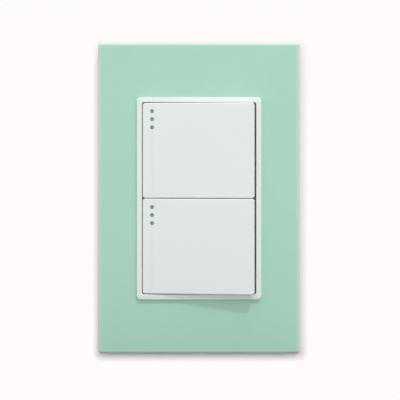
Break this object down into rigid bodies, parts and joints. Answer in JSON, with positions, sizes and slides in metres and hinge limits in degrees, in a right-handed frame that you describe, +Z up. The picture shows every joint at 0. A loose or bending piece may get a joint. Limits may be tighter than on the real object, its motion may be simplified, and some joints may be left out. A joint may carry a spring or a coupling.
{
  "type": "double light switch",
  "caption": "Wall light switch with wide rocker keys that tilt left and right in a white bezel, behind a flat coloured cover plate, on a steel strap with push-in switch modules.",
  "frame": {"origin": "centre of the cover plate, on the wall's face, midway between the box screws", "axes": "+X right and +Z up as the switch is seen; +Y into the wall"},
  "size_m": [0.078, 0.0345, 0.12],
  "materials": {
    "mint_plastic": "satin moulded mint green",
    "white_plastic": "smooth white moulding",
    "glow_green": "translucent glow plastic",
    "zinc_steel": "zinc-plated pressing",
    "screw_steel": "bright zinc-plated",
    "module_plastic": "dark grey thermoset",
    "inner_plastic": "ivory moulding",
    "lever_plastic": "natural white moulding",
    "brass": "stamped brass",
    "copper": "stamped copper alloy",
    "silver": "silver contact",
    "spring_steel": "stainless spring"
  },
  "bodies": {
    "base": {"cover_plate": "mint_plastic", "bezel_frame": "white_plastic", "mounting_strap": "zinc_steel", "box_screw_upper": "screw_steel", "box_screw_lower": "screw_steel", "plate_screw_upper": "screw_steel", "plate_screw_lower": "screw_steel", "module_body_upper": "module_plastic", "module_cover_upper": "inner_plastic", "common_terminal_upper": "brass", "line_terminal_upper": "brass", "fixed_contact_upper": "silver", "lock_spring_common_upper": "spring_steel", "lock_spring_line_upper": "spring_steel", "module_body_lower": "module_plastic", "module_cover_lower": "inner_plastic", "common_terminal_lower": "brass", "line_terminal_lower": "brass", "fixed_contact_lower": "silver", "lock_spring_common_lower": "spring_steel", "lock_spring_line_lower": "spring_steel"},
    "upper_rocker": {"rocker_key_upper": "white_plastic", "glow_insert_upper": "glow_green", "actuator_upper": "inner_plastic", "plunger_spring_upper": "spring_steel"},
    "upper_plunger": {"plunger_upper": "brass"},
    "upper_contact": {"contact_arm_upper": "copper", "moving_contact_upper": "silver"},
    "upper_line_release": {"release_lever_line_upper": "lever_plastic"},
    "upper_common_release": {"release_lever_common_upper": "lever_plastic"},
    "lower_rocker": {"rocker_key_lower": "white_plastic", "glow_insert_lower": "glow_green", "actuator_lower": "inner_plastic", "plunger_spring_lower": "spring_steel"},
    "lower_plunger": {"plunger_lower": "brass"},
    "lower_contact": {"contact_arm_lower": "copper", "moving_contact_lower": "silver"},
    "lower_line_release": {"release_lever_line_lower": "lever_plastic"},
    "lower_common_release": {"release_lever_common_lower": "lever_plastic"}
  },
  "joints": [
    {"name": "upper_rocker_tilt", "type": "hinge", "parent": "base", "child": "upper_rocker", "pos_m": [0, -0.0065, 0.01837], "axis": [0, 0, 1], "range_deg": [0, 9]},
    {"name": "upper_plunger_slide", "type": "slide", "parent": "upper_rocker", "child": "upper_plunger", "axis": [-0.0785, -0.9969, 0], "range_m": [0, 0.0006], "stiffness_N_per_m": 600, "springref_m": -0.002, "deforming": ["plunger_spring_upper"]},
    {"name": "upper_contact_tilt", "type": "hinge", "parent": "base", "child": "upper_contact", "pos_m": [0, 0.0099, 0.01837], "axis": [0, 0, 1], "range_deg": [-12, 0]},
    {"name": "upper_line_release_slide", "type": "slide", "parent": "base", "child": "upper_line_release", "axis": [0, -1, 0], "range_m": [0, 0.0012], "stiffness_N_per_m": 1200, "springref_m": -0.001, "deforming": ["lock_spring_line_upper"]},
    {"name": "upper_common_release_slide", "type": "slide", "parent": "base", "child": "upper_common_release", "axis": [0, -1, 0], "range_m": [0, 0.0012], "stiffness_N_per_m": 1200, "springref_m": -0.001, "deforming": ["lock_spring_common_upper"]},
    {"name": "lower_rocker_tilt", "type": "hinge", "parent": "base", "child": "lower_rocker", "pos_m": [0, -0.0065, -0.01837], "axis": [0, 0, 1], "range_deg": [0, 9]},
    {"name": "lower_plunger_slide", "type": "slide", "parent": "lower_rocker", "child": "lower_plunger", "axis": [-0.0785, -0.9969, 0], "range_m": [0, 0.0006], "stiffness_N_per_m": 600, "springref_m": -0.002, "deforming": ["plunger_spring_lower"]},
    {"name": "lower_contact_tilt", "type": "hinge", "parent": "base", "child": "lower_contact", "pos_m": [0, 0.0099, -0.01837], "axis": [0, 0, 1], "range_deg": [-12, 0]},
    {"name": "lower_line_release_slide", "type": "slide", "parent": "base", "child": "lower_line_release", "axis": [0, -1, 0], "range_m": [0, 0.0012], "stiffness_N_per_m": 1200, "springref_m": -0.001, "deforming": ["lock_spring_line_lower"]},
    {"name": "lower_common_release_slide", "type": "slide", "parent": "base", "child": "lower_common_release", "axis": [0, -1, 0], "range_m": [0, 0.0012], "stiffness_N_per_m": 1200, "springref_m": -0.001, "deforming": ["lock_spring_common_lower"]}
  ],
  "couplings": [
    {"joint": "upper_contact_tilt", "follows": "upper_rocker_tilt", "ratio": -1.3333},
    {"joint": "lower_contact_tilt", "follows": "lower_rocker_tilt", "ratio": -1.3333}
  ]
}
